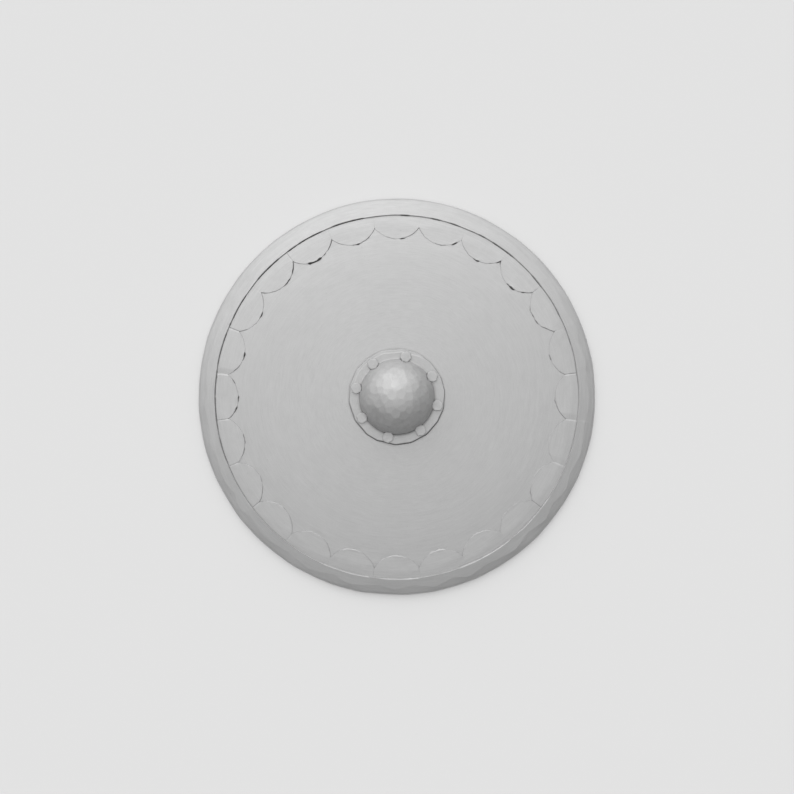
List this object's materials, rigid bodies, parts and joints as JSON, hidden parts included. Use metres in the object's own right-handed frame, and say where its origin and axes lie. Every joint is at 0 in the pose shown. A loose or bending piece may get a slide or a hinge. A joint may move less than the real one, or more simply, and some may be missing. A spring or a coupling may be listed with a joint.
{
  "type": "buckler shield",
  "caption": "Round dished steel buckler with a domed hand boss on a riveted flange, a scalloped border, a folded rim and a wooden grip across the back.",
  "frame": {"origin": "on the shield's axis, in the plane of the flat underside of the rim, which the shield lies on", "axes": "+Z along the shield's axis, out of its face towards the boss; +Y towards the top of the face; +X to the right as seen from the front"},
  "size_m": [0.45, 0.45, 0.0726],
  "materials": {
    "disc_steel": "planished, satin",
    "border_steel": "satin, worn at the lobes' edges",
    "rim_steel": "satin, lightly hammered",
    "boss_steel": "hammered in facets, satin",
    "rivet_steel": "forged, flat topped",
    "grip_wood": "oiled, darkened by the hand",
    "strap_steel": "forged, dark in the hollows"
  },
  "bodies": {
    "root": {"disc": "disc_steel", "scalloped_border": "border_steel", "rim": "rim_steel", "boss": "boss_steel", "boss_rivet_1": "rivet_steel", "boss_rivet_2": "rivet_steel", "boss_rivet_3": "rivet_steel", "boss_rivet_4": "rivet_steel", "boss_rivet_5": "rivet_steel", "boss_rivet_6": "rivet_steel", "boss_rivet_7": "rivet_steel", "boss_rivet_8": "rivet_steel", "grip": "grip_wood", "grip_strap": "strap_steel"}
  },
  "joints": []
}
